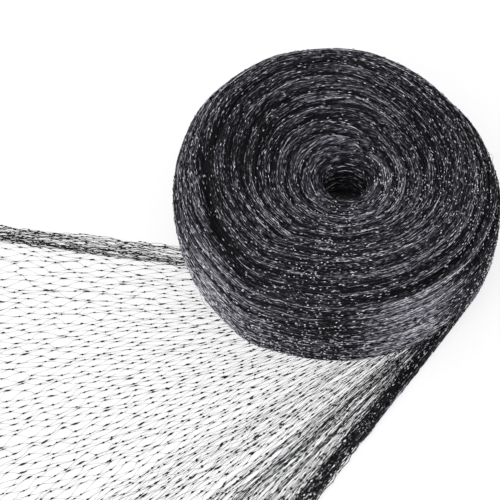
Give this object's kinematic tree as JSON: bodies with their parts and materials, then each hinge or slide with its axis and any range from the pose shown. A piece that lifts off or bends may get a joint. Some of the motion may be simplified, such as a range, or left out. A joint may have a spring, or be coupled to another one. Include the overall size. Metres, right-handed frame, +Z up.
{
  "type": "roll of bird netting with a loose end",
  "caption": "Coreless roll of fine black knitted netting lying on its end, open through its middle, with its loose end fanned out flat on the surface beside it.",
  "frame": {"origin": "on the surface it lies on, in the middle of the whole thing's box; the axis of the roll stands at x 0.0956, y 0.1510", "axes": "+Z up out of the surface, along the roll's axis; the loose end fans out towards -X and -Y"},
  "size_m": [0.4685, 0.5954, 0.0939],
  "materials": {
    "netting_wound": "satin black plastic monofilament, gathered and wound, with pale glints on its threads",
    "netting_single": "satin black plastic monofilament in one open layer"
  },
  "bodies": {
    "root": {"roll": "netting_wound", "loose_net": "netting_single"}
  },
  "joints": []
}
